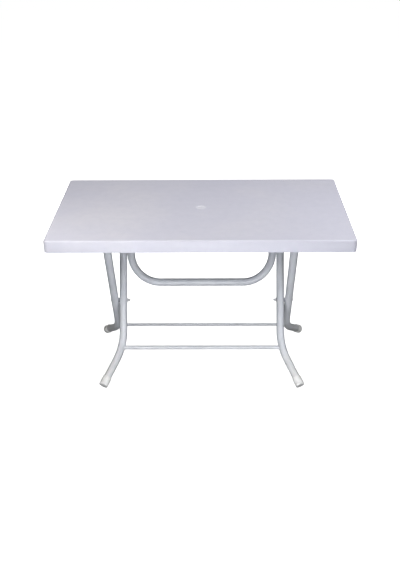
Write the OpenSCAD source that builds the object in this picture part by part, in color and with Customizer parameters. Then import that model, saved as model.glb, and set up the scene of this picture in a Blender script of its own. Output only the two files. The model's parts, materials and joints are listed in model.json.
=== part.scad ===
// Folding garden table: a moulded plastic top on two crossed steel tube frames.
// X runs along the long side, the front edge is at -Y, and Z = 0 is the floor.
// The inner frame stands on the front feet and leans back to clips under the rear of the top.
// The outer frame stands on the rear feet and hangs from a hinge bar under the front of the top.
// The frames cross at two bolts, and the whole set folds up flat under the top.

/* [Table top] */
// Length of the top along X
table_l = 1200; // [1100:10:1400]
// Width of the top along Y
table_w = 700; // [660:10:800]
// Height of the upper face above the floor
table_h = 730; // [710:5:750]
// Depth of the apron around the top
apron_h = 50; // [46:1:52]
// Wall thickness of the apron
apron_t = 4; // [3:0.5:6]
// Thickness of the flat skin
skin_t = 5; // [4:0.5:6]
// Corner radius of the top in plan
corner_r = 16; // [12:1:30]
// Radius of the rounding along the upper edge
edge_r = 7; // [3:1:10]
// Depth of the stiffening ribs below the skin
rib_h = 20; // [12:1:22]
// Thickness of a rib
rib_t = 3; // [2:0.5:4]
// Spacing of the ribs
rib_pitch = 100; // [90:5:120]

/* [Parasol hole] */
// Diameter of the hole in the centre of the top
parasol_d = 34; // [30:1:40]
// Diameter of the plug's flat head, which sits flush in the top
plug_d = 42; // [42:1:50]
// Thickness of the plug's head
plug_head_t = 2; // [1.5:0.5:3]
// Depth of the plug below its head
plug_depth = 26; // [20:1:30]

/* [Frames] */
// Lean of both frames from the vertical
leg_tilt = 26.5; // [25:0.5:28]
// Height of the crossing bolts above the floor
pivot_z = 300; // [290:1:310]
// Distance of the crossing bolts in front of the middle of the top
frame_shift = 10; // [0:1:14]
// Outer diameter of the leg and brace tube
leg_d = 34; // [32:1:34]
// Wall thickness of the leg tube
leg_wall = 1.5; // [1.2:0.1:2]
// Distance of the inner legs from the middle of the table
inner_x = 344; // [320:1:360]
// Clear gap between an inner and an outer leg
leg_gap = 3; // [3:0.5:6]
// Diameter of the top bar of each frame
bar_d = 25; // [22:1:25]
// Wall thickness of the top bars
bar_wall = 1.5; // [1.2:0.1:2]
// Gap between the top bars and the level of the apron's lower edge
bar_clear = 2.5; // [2:0.5:4]
// Diameter of the front stretcher, on the inner frame
stretcher_d = 18; // [16:1:20]
// Diameter of the rear stretcher, on the outer frame
rear_stretcher_d = 13; // [12:1:16]
// Wall thickness of the stretchers
stretcher_wall = 1.2; // [1:0.1:2]

/* [Feet] */
// Distance from the crossing bolt down the leg to the corner of its bend
bend_drop = 203; // [195:1:210]
// Centreline radius of the leg's bend
bend_r = 210; // [180:15:225]
// Direction of the bend, turned from straight outward towards the foot's own side
foot_turn = 50; // [44:1:56]
// Outer diameter of a foot cap
cap_d = 40; // [39:1:42]
// Length of a foot cap
cap_l = 42; // [32:1:48]
// Thickness of a foot cap's closed end
cap_end_t = 5; // [3:0.5:8]
// Height of the centre of a foot cap's end face above the floor
cap_end_z = 14.5; // [13:0.5:16]
// Rounding of the rim of a foot cap
cap_round = 3; // [1:0.5:3]

/* [U brace] */
// Distance from the crossing bolts up the leg to the brace's cross tube
brace_rise = 78; // [70:1:90]
// Centreline radius of the brace's two bends
brace_r = 130; // [120:5:140]
// Clearance between the brace's arms and the legs that they run beside
brace_gap = 0.2; // [0.1:0.1:0.5]

/* [Hinges and clips] */
// Distance of the hinge brackets from the middle of the table
hinge_x = 296; // [280:1:300]
// Distance of the rear clips from the middle of the table
clip_x = 250; // [230:1:256]
// Width of a bracket, strap or clip along the bar
bracket_w = 28; // [24:1:32]
// Length of a bracket across the bar
bracket_l = 72; // [64:1:80]
// Thickness of a strap's ears
strap_t = 5; // [4:0.5:6]
// Radial clearance of the hinge bar in its brackets
hinge_fit = 0.05; // [0.03:0.01:0.08]
// Clearance around the bar in a rear clip
clip_fit = 0.5; // [0.4:0.1:0.8]
// Wall thickness of a rear clip
clip_wall = 9; // [7:0.5:10]
// Shank diameter of the screws
screw_d = 4.5; // [4:0.5:5]
// Head diameter of the screws
screw_head_d = 9; // [8:0.5:10]
// Head height of the screws
screw_head_h = 3; // [2:0.5:3]

/* [Crossing bolts] */
// Diameter of the bolts
bolt_d = 8; // [6:1:10]
// Radial clearance of the bolts in the legs
bolt_fit = 0.05; // [0.03:0.01:0.08]
// Diameter of the domed bolt heads
bolt_head_d = 14; // [13:1:16]
// Height of the bolt heads
bolt_head_h = 3; // [2.5:0.5:4]
// Width of the nuts across their corners
hex_d = 15; // [13:0.5:17]
// Height of the nut's hexagon
nut_h = 7; // [5:0.5:8]
// Thickness of the washers
washer_t = 1.6; // [1:0.1:2]
// Diameter of the washers
washer_d = 18; // [16:1:22]
// Diameter of the spacers between the legs
spacer_d = 18; // [14:1:20]
// Running clearance beside the turning legs
side_clear = 0.3; // [0.3:0.1:0.5]

/* [Hidden] */

$fn = 48;
LEFT = -1;
RIGHT = 1;
plastic_grey = [0.84, 0.84, 0.89];
tube_grey = [0.74, 0.76, 0.78];
cap_grey = [0.80, 0.81, 0.83];
bracket_grey = [0.62, 0.63, 0.66];
zinc_grey = [0.60, 0.61, 0.62];

// A cut runs this far past the face that it opens
over = 1;
// Half sizes
leg_r = leg_d / 2;
bar_r = bar_d / 2;
outer_x = inner_x + leg_d + leg_gap;
frame_y = -frame_shift;
// Levels of the top
apron_z = table_h - apron_h;
skin_z = table_h - skin_t;
rib_z = skin_z - rib_h;
pad_z = rib_z - 5;
// Both top bars lie at one height and at equal distances from the crossing bolts
bar_z = apron_z - bar_clear - bar_r;
bar_rise = (bar_z - pivot_z) / cos(leg_tilt);
bar_y = (bar_z - pivot_z) * tan(leg_tilt);
hinge_y = frame_y - bar_y;
clip_y = frame_y + bar_y;
// The bend follows the acute angle of a 3-4-5 triangle
foot_bend = atan(3 / 4);
// The corner of the bend and the slope of the foot give the foot's length
bend_z = pivot_z - bend_drop * cos(leg_tilt);
foot_slope = cos(foot_bend) * cos(leg_tilt) - sin(foot_bend) * sin(foot_turn) * sin(leg_tilt);
foot_len = (bend_z - cap_end_z) / foot_slope;
bend_tangent = bend_r * tan(foot_bend / 2);
// A stretcher meets the legs just inside their bends
stretcher_turn = 21;
stretcher_drop = bend_drop - bend_tangent + bend_r * sin(stretcher_turn);
stretcher_shift = bend_r * (1 - cos(stretcher_turn)) * sin(foot_turn);
// Screws
hinge_screw_y = bracket_l / 2 - 9;
hinge_screw_l = 50;
clip_flange_w = 66;
clip_flange_t = 5;
clip_screw_x = clip_flange_w / 2 - 9;
clip_screw_l = 18;
clip_back = bar_r + clip_fit + clip_wall;
clip_front = bar_r + 2;
clip_lip = 5;
// Bar ends
inner_bar_half = inner_x + leg_r - 2;
outer_bar_half = outer_x + leg_r;
plug_flange_t = 2;
plug_spigot_l = 12;
// Faces that the crossing bolt clamps, as distances from the middle of the table
bolt_in_x = inner_x - leg_r - side_clear;
bolt_out_x = outer_x + leg_r;
bolt_dome_r = (bolt_head_d * bolt_head_d / 4 + bolt_head_h * bolt_head_h) / (2 * bolt_head_h);
nut_x = bolt_in_x - washer_t;
bolt_end_in_nut = nut_h + 1;

// ---- Shared shapes ----

// Plate with round corners, centred
module round_plate(l, w, r) {
    square([l - 2 * r, w], center = true);
    square([l, w - 2 * r], center = true);
    for (x = [-1, 1], y = [-1, 1])
        translate([x * (l / 2 - r), y * (w / 2 - r)])
            circle(r);
}

// Cross-section of the top with its two upper corners rounded, centred, base at 0
module edge_profile(w) {
    translate([-w / 2, 0])
        square([w, apron_h - edge_r]);
    translate([edge_r - w / 2, 0])
        square([w - 2 * edge_r, apron_h]);
    for (x = [-1, 1])
        translate([x * (w / 2 - edge_r), apron_h - edge_r])
            circle(edge_r);
}

// Ring-shaped cross-section of a tube
module ring(d, wall) {
    difference() {
        circle(d = d);
        circle(d = d - 2 * wall);
    }
}

// Straight solid or hollow round bar along X, centred
module cross_rod(d, l) {
    rotate([0, 90, 0])
        cylinder(d = d, h = l, center = true);
}
module cross_tube(d, wall, l) {
    rotate([0, 90, 0])
        translate([0, 0, -l / 2])
            linear_extrude(l)
                ring(d, wall);
}

// Turns a part built for the right-hand side into the left-hand one
module on_side(side) {
    if (side == LEFT)
        mirror([1, 0, 0]) children();
    else
        children();
}

// Puts children in the inner legs' leaning plane: origin on the bolt line, Z up the legs
module lean() {
    translate([0, frame_y, pivot_z])
        rotate([-leg_tilt, 0, 0])
            children();
}

// The outer frame leans the other way
module outer_lean() {
    translate([0, frame_y, pivot_z])
        mirror([0, 1, 0])
            rotate([-leg_tilt, 0, 0])
                children();
}

// Frame at the corner of the bend, with the foot running away along +Z
module foot_frame() {
    rotate([0, 0, -foot_turn])
        translate([0, 0, -bend_drop])
            rotate([0, -foot_bend, 0])
                mirror([0, 0, 1])
                    children();
}

// Sector that a bend fills, with its second edge in the exact direction of the foot
module bend_sector() {
    reach = bend_r / 2;
    linear_extrude(2 * leg_d, center = true)
        polygon([[0, 0], [5 * reach, 0], [4 * reach, 3 * reach]]);
}

// The leg's path swept with the children's cross-section, from the top bar down to the foot
module leg_sweep() {
    rotate([0, 0, -foot_turn])
        translate([0, 0, bend_tangent - bend_drop]) {
            linear_extrude(bar_rise + bend_drop - bend_tangent)
                children();
            translate([bend_r, 0, 0])
                rotate([90, 180, 0])
                    intersection() {
                        rotate_extrude($fn = 96)
                            translate([bend_r, 0])
                                children();
                        bend_sector();
                    }
        }
    foot_frame()
        translate([0, 0, bend_tangent])
            linear_extrude(foot_len - cap_end_t - bend_tangent)
                children();
}

// Right-hand leg at distance x from the middle, coped to its top bar and drilled for the bolt
module leg(x) {
    translate([x, 0, 0])
        difference() {
            leg_sweep()
                ring(leg_d, leg_wall);
            translate([0, 0, bar_rise])
                cross_rod(bar_d, leg_d + 2 * over);
            cross_rod(bolt_d + 2 * bolt_fit, leg_d + 2 * over);
        }
}

// The leg's outer envelope, used to cope the tubes that meet it
module leg_envelope(x) {
    translate([x, 0, 0])
        leg_sweep()
            circle(d = leg_d);
}

// Stretcher of diameter d between two legs at distance x, with its ends coped to them
module stretcher(x, d) {
    difference() {
        translate([0, -stretcher_shift, -stretcher_drop])
            cross_tube(d, stretcher_wall, 2 * x);
        for (side = [LEFT, RIGHT])
            on_side(side)
                leg_envelope(x);
    }
}

// Both end plugs of a top bar of the given half length
module bar_plugs(half) {
    for (side = [LEFT, RIGHT])
        on_side(side)
            translate([half, 0, bar_rise])
                rotate([0, 90, 0]) {
                    cylinder(d = bar_d, h = plug_flange_t);
                    translate([0, 0, -plug_spigot_l])
                        cylinder(d = bar_d - 2 * bar_wall, h = plug_spigot_l + over);
                }
}

// Plastic cap on the end of the foot at distance x, cut flat where it meets the floor
module foot_cap(x) {
    translate([x, 0, 0])
        foot_frame()
            translate([0, 0, foot_len])
                mirror([0, 0, 1])
                    rotate_extrude()
                        difference() {
                            union() {
                                square([cap_d / 2 - cap_round, cap_l]);
                                translate([0, cap_round])
                                    square([cap_d / 2, cap_l - cap_round]);
                                translate([cap_d / 2 - cap_round, cap_round])
                                    intersection() {
                                        circle(cap_round);
                                        translate([0, -cap_round])
                                            square(cap_round);
                                    }
                            }
                            translate([0, cap_end_t])
                                square([leg_r, cap_l]);
                        }
}
module below_floor() {
    translate([-table_l, -table_l, -table_h])
        cube([2 * table_l, 2 * table_l, table_h]);
}

// Pan-head screw with its head's upper face at Z = 0 and its shank up +Z
module screw(l) {
    translate([0, 0, -screw_head_h])
        cylinder(d = screw_head_d, h = screw_head_h);
    cylinder(d = screw_d, h = l);
}

// Screw positions of one hinge bracket and of one rear clip
module at_hinge_screws(side, z) {
    for (y = [-hinge_screw_y, hinge_screw_y])
        translate([side * hinge_x, hinge_y + y, z])
            children();
}
module at_clip_screws(side, z) {
    for (x = [-clip_screw_x, clip_screw_x])
        translate([side * clip_x + x, clip_y - 4, z])
            children();
}

// ---- Table top ----

module top_solid() {
    intersection() {
        translate([0, 0, apron_z])
            linear_extrude(apron_h)
                round_plate(table_l, table_w, corner_r);
        translate([0, 0, apron_z])
            rotate([90, 0, 90])
                linear_extrude(table_l + 2 * over, center = true)
                    edge_profile(table_w);
        translate([0, 0, apron_z])
            rotate([90, 0, 0])
                linear_extrude(table_w + 2 * over, center = true)
                    edge_profile(table_l);
    }
}

module ribs() {
    cross_count = floor((table_l / 2 - apron_t) / rib_pitch);
    long_count = floor((table_w / 2 - apron_t) / rib_pitch);
    for (i = [-cross_count : cross_count])
        translate([i * rib_pitch - rib_t / 2, apron_t / 2 - table_w / 2, rib_z])
            cube([rib_t, table_w - apron_t, rib_h + over]);
    for (i = [-long_count : long_count])
        translate([apron_t / 2 - table_l / 2, i * rib_pitch - rib_t / 2, rib_z])
            cube([table_l - apron_t, rib_t, rib_h + over]);
}

// Thick pads that the brackets and clips are screwed to
module pads() {
    pad_h = skin_z - pad_z + over;
    for (side = [LEFT, RIGHT]) {
        translate([side * hinge_x - bracket_w / 2 - 6, hinge_y - bracket_l / 2 - 6, pad_z])
            cube([bracket_w + 12, bracket_l + 12, pad_h]);
        translate([side * clip_x - clip_flange_w / 2 - 4, clip_y - clip_back - 6, pad_z])
            cube([clip_flange_w + 8, clip_back + clip_front + 12, pad_h]);
    }
}

module top_panel() {
    boss_d = parasol_d + 12;
    color(plastic_grey)
        difference() {
            union() {
                difference() {
                    top_solid();
                    translate([0, 0, apron_z - over])
                        linear_extrude(skin_z - apron_z + over)
                            round_plate(table_l - 2 * apron_t, table_w - 2 * apron_t, corner_r - apron_t);
                }
                ribs();
                pads();
                translate([0, 0, pad_z])
                    cylinder(d = boss_d, h = skin_z - pad_z + over);
            }
            translate([0, 0, pad_z - over])
                cylinder(d = parasol_d, h = table_h);
            translate([0, 0, table_h - plug_head_t])
                cylinder(d = plug_d, h = table_h);
            for (side = [LEFT, RIGHT]) {
                at_hinge_screws(side, pad_z - over)
                    cylinder(d = screw_d, h = hinge_screw_l - (pad_z - bar_z + strap_t - over) + over);
                at_clip_screws(side, pad_z - over)
                    cylinder(d = screw_d, h = clip_screw_l - clip_flange_t + over);
            }
        }
}

// Flush plug that closes the parasol hole
module centre_plug() {
    plug_wall = 2;
    color(plastic_grey)
        translate([0, 0, table_h - plug_head_t]) {
            cylinder(d = plug_d, h = plug_head_t);
            translate([0, 0, -plug_depth])
                linear_extrude(plug_depth)
                    ring(parasol_d, plug_wall);
        }
}

// ---- Hinge brackets and rear clips ----

// The strap's ears meet the bracket just above the middle of the bar
module hinge_bracket(side) {
    split_z = bar_z + over;
    color(bracket_grey)
        difference() {
            translate([side * hinge_x - bracket_w / 2, hinge_y - bracket_l / 2, split_z])
                cube([bracket_w, bracket_l, pad_z - split_z]);
            translate([side * hinge_x, hinge_y, bar_z])
                cross_rod(bar_d + 2 * hinge_fit, bracket_w + 2 * over);
            at_hinge_screws(side, split_z - over)
                cylinder(d = screw_d, h = pad_z);
        }
}

module hinge_strap(side) {
    strap_wall = 4;
    split_z = bar_z + over;
    color(zinc_grey)
        difference() {
            union() {
                translate([side * hinge_x - bracket_w / 2, hinge_y - bracket_l / 2, split_z - strap_t])
                    cube([bracket_w, bracket_l, strap_t]);
                intersection() {
                    translate([side * hinge_x, hinge_y, bar_z])
                        cross_rod(bar_d + 2 * strap_wall, bracket_w);
                    translate([side * hinge_x - bracket_w, hinge_y - bracket_l / 2, bar_z - bracket_l])
                        cube([2 * bracket_w, bracket_l, bracket_l]);
                }
            }
            translate([side * hinge_x, hinge_y, bar_z])
                cross_rod(bar_d + 2 * hinge_fit, bracket_w + 2 * over);
            at_hinge_screws(side, bar_z - bracket_w)
                cylinder(d = screw_d, h = 2 * bracket_w);
        }
}

module hinge_screws() {
    color(zinc_grey)
        for (side = [LEFT, RIGHT])
            at_hinge_screws(side, bar_z + over - strap_t)
                screw(hinge_screw_l);
}

// Spring clip with its mouth towards the rear edge
module rear_clip(side) {
    seat_r = bar_r + clip_fit;
    color(bracket_grey)
        difference() {
            union() {
                translate([side * clip_x - bracket_w / 2, clip_y - clip_back, bar_z - seat_r - clip_lip])
                    cube([bracket_w, clip_back + clip_front, pad_z - bar_z + seat_r + clip_lip]);
                translate([side * clip_x - clip_flange_w / 2, clip_y - clip_back, pad_z - clip_flange_t])
                    cube([clip_flange_w, clip_back + clip_front, clip_flange_t]);
            }
            translate([side * clip_x, clip_y, bar_z])
                cross_rod(2 * seat_r, bracket_w + 2 * over);
            translate([side * clip_x - bracket_w, clip_y, bar_z - seat_r])
                cube([2 * bracket_w, clip_back, 2 * seat_r]);
            at_clip_screws(side, pad_z - clip_flange_t - over)
                cylinder(d = screw_d, h = clip_flange_t + 2 * over);
        }
}

module clip_screws() {
    color(zinc_grey)
        for (side = [LEFT, RIGHT])
            at_clip_screws(side, pad_z - clip_flange_t)
                screw(clip_screw_l);
}

// ---- Outer frame, with the rear feet ----

module outer_leg(side) {
    color(tube_grey)
        on_side(side)
            outer_lean()
                leg(outer_x);
}

module outer_hinge_bar() {
    color(tube_grey)
        outer_lean()
            translate([0, 0, bar_rise])
                cross_tube(bar_d, bar_wall, 2 * outer_bar_half);
}

module outer_stretcher() {
    color(tube_grey)
        outer_lean()
            stretcher(outer_x, rear_stretcher_d);
}

module rear_foot_cap(side) {
    color(cap_grey)
        difference() {
            on_side(side)
                outer_lean()
                    foot_cap(outer_x);
            below_floor();
        }
}

module outer_bar_plugs() {
    color(cap_grey)
        outer_lean()
            bar_plugs(outer_bar_half);
}

// ---- Inner frame, with the front feet ----

module inner_leg(side) {
    color(tube_grey)
        on_side(side)
            lean()
                leg(inner_x);
}

module inner_top_bar() {
    color(tube_grey)
        lean()
            translate([0, 0, bar_rise])
                cross_tube(bar_d, bar_wall, 2 * inner_bar_half);
}

// U-shaped tube whose arms run up beside the inner legs to the top bar
module u_brace() {
    arm_x = inner_x - leg_d - brace_gap;
    bend_x = arm_x - brace_r;
    arm_z = brace_rise + brace_r;
    color(tube_grey)
        lean()
            difference() {
                union() {
                    translate([0, 0, brace_rise])
                        cross_tube(leg_d, leg_wall, 2 * bend_x);
                    for (side = [LEFT, RIGHT])
                        on_side(side) {
                            translate([bend_x, 0, arm_z])
                                rotate([90, 0, 0])
                                    rotate_extrude(angle = 90, start = -90, $fn = 96)
                                        translate([brace_r, 0])
                                            ring(leg_d, leg_wall);
                            translate([arm_x, 0, arm_z])
                                linear_extrude(bar_rise - arm_z)
                                    ring(leg_d, leg_wall);
                        }
                }
                translate([0, 0, bar_rise])
                    cross_rod(bar_d, table_l);
            }
}

module inner_stretcher() {
    color(tube_grey)
        lean()
            stretcher(inner_x, stretcher_d);
}

module front_foot_cap(side) {
    color(cap_grey)
        difference() {
            on_side(side)
                lean()
                    foot_cap(inner_x);
            below_floor();
        }
}

module inner_bar_plugs() {
    color(cap_grey)
        lean()
            bar_plugs(inner_bar_half);
}

// ---- Crossing bolts ----

module pivot_bolt(side) {
    color(zinc_grey)
        on_side(side)
            translate([0, frame_y, pivot_z])
                rotate([0, 90, 0]) {
                    translate([0, 0, nut_x - bolt_end_in_nut])
                        cylinder(d = bolt_d, h = bolt_out_x - nut_x + bolt_end_in_nut);
                    translate([0, 0, bolt_out_x])
                        intersection() {
                            cylinder(d = 2 * bolt_head_d, h = bolt_head_h + over);
                            translate([0, 0, bolt_head_h - bolt_dome_r])
                                sphere(bolt_dome_r);
                        }
                }
}

// Domed nut on the inner side of the inner leg
module pivot_nut(side) {
    dome_r = 6.5;
    color(zinc_grey)
        on_side(side)
            translate([nut_x, frame_y, pivot_z])
                rotate([0, -90, 0])
                    difference() {
                        union() {
                            cylinder(d = hex_d, h = nut_h, $fn = 6);
                            translate([0, 0, nut_h - 1])
                                intersection() {
                                    sphere(dome_r);
                                    cylinder(r = dome_r + over, h = dome_r + over);
                                }
                        }
                        translate([0, 0, -over])
                            cylinder(d = bolt_d, h = bolt_end_in_nut + over);
                    }
}

module pivot_washers() {
    color(zinc_grey)
        for (side = [LEFT, RIGHT])
            on_side(side)
                translate([nut_x, frame_y, pivot_z])
                    rotate([0, 90, 0])
                        linear_extrude(washer_t)
                            ring(washer_d, (washer_d - bolt_d) / 2 - 2 * bolt_fit);
}

// Spacer that is saddled on the outer leg and bears flat on the inner one
module pivot_spacer(side) {
    inner_face = inner_x + leg_r + side_clear;
    color(bracket_grey)
        on_side(side)
            difference() {
                translate([inner_face, frame_y, pivot_z])
                    rotate([0, 90, 0])
                        linear_extrude(outer_x - leg_r / 2 - inner_face)
                            ring(spacer_d, (spacer_d - bolt_d) / 2 - 2 * bolt_fit);
                outer_lean()
                    translate([outer_x, 0, -spacer_d])
                        cylinder(d = leg_d, h = 2 * spacer_d);
            }
}

// ---- The table ----

top_panel();
centre_plug();
hinge_bracket(LEFT);  // hinge_bracket_left
hinge_bracket(RIGHT);  // hinge_bracket_right
hinge_strap(LEFT);  // hinge_strap_left
hinge_strap(RIGHT);  // hinge_strap_right
hinge_screws();
rear_clip(LEFT);  // rear_clip_left
rear_clip(RIGHT);  // rear_clip_right
clip_screws();
outer_leg(LEFT);  // outer_leg_left
outer_leg(RIGHT);  // outer_leg_right
outer_hinge_bar();
outer_stretcher();
rear_foot_cap(LEFT);  // rear_foot_cap_left
rear_foot_cap(RIGHT);  // rear_foot_cap_right
outer_bar_plugs();
inner_leg(LEFT);  // inner_leg_left
inner_leg(RIGHT);  // inner_leg_right
inner_top_bar();
u_brace();
inner_stretcher();
front_foot_cap(LEFT);  // front_foot_cap_left
front_foot_cap(RIGHT);  // front_foot_cap_right
inner_bar_plugs();
pivot_bolt(LEFT);  // pivot_bolt_left
pivot_bolt(RIGHT);  // pivot_bolt_right
pivot_spacer(LEFT);  // pivot_spacer_left
pivot_spacer(RIGHT);  // pivot_spacer_right
pivot_washers();
pivot_nut(LEFT);  // pivot_nut_left
pivot_nut(RIGHT);  // pivot_nut_right
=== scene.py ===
"""Looks of a folding garden table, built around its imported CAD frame.

Metres throughout, in the CAD frame: X runs along the table, the front edge is at -Y
and Z = 0 is the floor.
"""

import json
import math
import random

import bmesh
import bpy
from mathutils import Matrix, Vector


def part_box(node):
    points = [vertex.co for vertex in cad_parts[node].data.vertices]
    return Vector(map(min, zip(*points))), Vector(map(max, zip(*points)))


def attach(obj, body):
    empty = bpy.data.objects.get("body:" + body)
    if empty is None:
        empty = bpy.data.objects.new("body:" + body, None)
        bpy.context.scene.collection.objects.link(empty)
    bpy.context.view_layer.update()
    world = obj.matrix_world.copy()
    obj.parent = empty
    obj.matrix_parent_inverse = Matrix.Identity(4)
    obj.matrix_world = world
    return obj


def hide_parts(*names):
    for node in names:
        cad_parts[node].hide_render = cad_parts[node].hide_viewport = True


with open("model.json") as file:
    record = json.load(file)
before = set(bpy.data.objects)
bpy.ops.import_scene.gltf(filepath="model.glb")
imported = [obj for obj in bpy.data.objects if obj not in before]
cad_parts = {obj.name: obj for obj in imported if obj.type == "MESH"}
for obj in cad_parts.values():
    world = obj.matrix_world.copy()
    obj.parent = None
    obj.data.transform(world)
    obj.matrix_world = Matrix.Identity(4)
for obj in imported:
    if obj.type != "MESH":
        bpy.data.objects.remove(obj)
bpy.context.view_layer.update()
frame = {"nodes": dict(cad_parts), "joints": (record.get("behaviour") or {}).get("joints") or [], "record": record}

MM = 0.001
SIDES = {"left": -1, "right": 1}

# ---- Design values that the frames share, as in the CAD ----

LEG_TILT = math.radians(26.5)
LEG_R = 17 * MM
INNER_X = 344 * MM
OUTER_X = 381 * MM
BRACE_X = 309.8 * MM
BAR_R = 12.5 * MM
BAR_WALL = 1.5 * MM
FOOT_TURN = math.radians(50)
FOOT_BEND = math.atan(3 / 4)
BEND_DROP = 203 * MM
CAP_END_Z = 14.5 * MM
CAP_R = 20 * MM
CAP_L = 42 * MM

joint_place = {j["name"]: Vector(j["pos_m"]) for j in frame["joints"]}
PIVOT = joint_place["frame_cross"]
HINGE = joint_place["leg_fold"]
BAR_RISE = (HINGE.z - PIVOT.z) / math.cos(LEG_TILT)
BEND_Z = PIVOT.z - BEND_DROP * math.cos(LEG_TILT)
FOOT_SLOPE = (math.cos(FOOT_BEND) * math.cos(LEG_TILT)
              - math.sin(FOOT_BEND) * math.sin(FOOT_TURN) * math.sin(LEG_TILT))
FOOT_LEN = (BEND_Z - CAP_END_Z) / FOOT_SLOPE


def turn(angle, axis):
    return Matrix.Rotation(angle, 4, axis)


def shift(x, y, z):
    return Matrix.Translation((x, y, z))


# Leaning planes of the two frames: origin on the bolt line, Z up the legs
LEAN = {
    "inner_frame": shift(*PIVOT) @ turn(-LEG_TILT, "X"),
    "outer_frame": shift(*PIVOT) @ Matrix.Scale(-1, 4, (0, 1, 0)) @ turn(-LEG_TILT, "X"),
}
LEG_X = {"inner_frame": INNER_X, "outer_frame": OUTER_X}


def mirrored(side):
    """Turns what is built for the right-hand side (+X) to the given side."""
    return Matrix.Scale(side, 4, (1, 0, 0))


# ---- Procedural materials ----

# Sockets of the Mix node when it mixes colours
MIX_COLOURS = slice(6, 8)
MIX_RESULT = 2


class Look:
    """A Principled material in the making. Coordinates are the node's own, in metres."""

    def __init__(self, name, colour, roughness, **sockets):
        self.material = bpy.data.materials.new(name)
        self.material.use_nodes = True
        tree = self.material.node_tree
        self.nodes, self.links = tree.nodes, tree.links
        self.shader = next(n for n in self.nodes if n.type == "BSDF_PRINCIPLED")
        self.shader.inputs["Base Color"].default_value = (*colour, 1)
        self.shader.inputs["Roughness"].default_value = roughness
        for socket, value in sockets.items():
            self.shader.inputs[socket.replace("_", " ")].default_value = value
        self.place = self.nodes.new("ShaderNodeTexCoord").outputs["Object"]
        self.height = None

    def feed(self, socket, value):
        if isinstance(value, bpy.types.NodeSocket):
            self.links.new(value, socket)
        elif value is not None:
            socket.default_value = value

    def node(self, kind, inputs, output=0, **settings):
        made = self.nodes.new(kind)
        for key, value in settings.items():
            setattr(made, key, value)
        for key, value in inputs.items():
            self.feed(made.inputs[key], value)
        return made.outputs[output]

    def math(self, operation, a, b=None):
        return self.node("ShaderNodeMath", {0: a, 1: b}, operation=operation)

    def stretched(self, factors):
        return self.node("ShaderNodeMapping", {"Vector": self.place, "Scale": factors})

    def noise(self, scale, detail=2, roughness=0.5, vector=None, distortion=0):
        inputs = {"Vector": vector or self.place, "Scale": scale, "Detail": detail,
                  "Roughness": roughness, "Distortion": distortion}
        return self.node("ShaderNodeTexNoise", inputs)

    def cells(self, scale, feature="F1"):
        inputs = {"Vector": self.place, "Scale": scale}
        return self.node("ShaderNodeTexVoronoi", inputs, feature=feature)

    def remap(self, value, low, high, to_low=0, to_high=1):
        inputs = {"Value": value, "From Min": low, "From Max": high,
                  "To Min": to_low, "To Max": to_high}
        return self.node("ShaderNodeMapRange", inputs, interpolation_type="SMOOTHSTEP")

    def axis(self, name):
        return self.node("ShaderNodeSeparateXYZ", {"Vector": self.place}, output=name)

    def blend(self, factor, a, b):
        made = self.nodes.new("ShaderNodeMix")
        made.data_type = "RGBA"
        made.clamp_factor = True
        self.feed(made.inputs["Factor"], factor)
        for socket, value in zip(made.inputs[MIX_COLOURS], (a, b)):
            self.feed(socket, value if isinstance(value, bpy.types.NodeSocket) else (*value, 1))
        return made.outputs[MIX_RESULT]

    def bump(self, height, distance, strength):
        inputs = {"Height": height, "Distance": distance, "Strength": strength,
                  "Normal": self.height}
        self.height = self.node("ShaderNodeBump", inputs)

    def finish(self, colour, roughness=None):
        self.links.new(colour, self.shader.inputs["Base Color"])
        if roughness is not None:
            self.links.new(roughness, self.shader.inputs["Roughness"])
        if self.height is not None:
            self.links.new(self.height, self.shader.inputs["Normal"])
        return self.material


def scratches(look, along, across, threshold):
    """Fine straight marks that run mostly along X or Y, as a mask from 0 to 1."""
    marks = None
    for factors in ((along, across, across), (across, along, across)):
        lines = look.noise(1, 3, 0.6, look.stretched(factors), 0.4)
        patch = look.noise(7, 2, 0.5, look.stretched((1, 1.3, 1)))
        line_mask = look.remap(lines, threshold, threshold + 0.05)
        mask = look.math("MULTIPLY", line_mask, look.remap(patch, 0.52, 0.66))
        marks = mask if marks is None else look.math("MAXIMUM", marks, mask)
    return marks


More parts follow.
